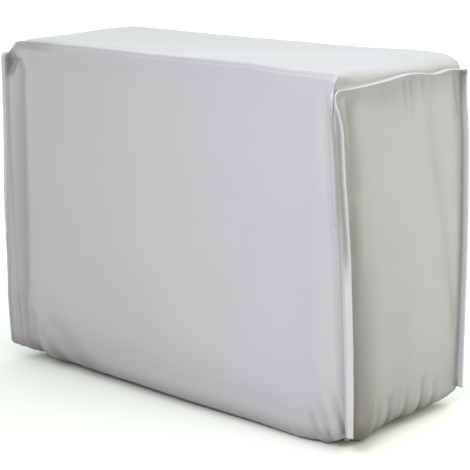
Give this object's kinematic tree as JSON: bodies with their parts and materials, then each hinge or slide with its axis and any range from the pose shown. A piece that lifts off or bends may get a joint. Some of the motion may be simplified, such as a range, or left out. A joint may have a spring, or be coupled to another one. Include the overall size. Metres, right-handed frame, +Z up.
{
  "type": "air conditioner cover",
  "caption": "Fitted cloth cover for an outdoor air-conditioner unit: a wrap panel over front, top and back, taped standing side seams, sewn end panels and a gathered hem.",
  "frame": {"origin": "centre of the cover's bounding box on X and Y, at the lowest point of the hem", "axes": "+X along the front toward the right end, +Y from front to back, +Z up; the front panel faces -Y"},
  "size_m": [0.8364, 0.332, 0.5916],
  "materials": {
    "cover_cloth": "satin silver-grey taffeta",
    "edge_tape": "woven edge tape, slight sheen"
  },
  "bodies": {
    "root": {"wrap_panel": "cover_cloth", "end_panel_right": "cover_cloth", "end_panel_left": "cover_cloth", "seam_binding_right": "edge_tape", "seam_binding_left": "edge_tape"}
  },
  "joints": []
}
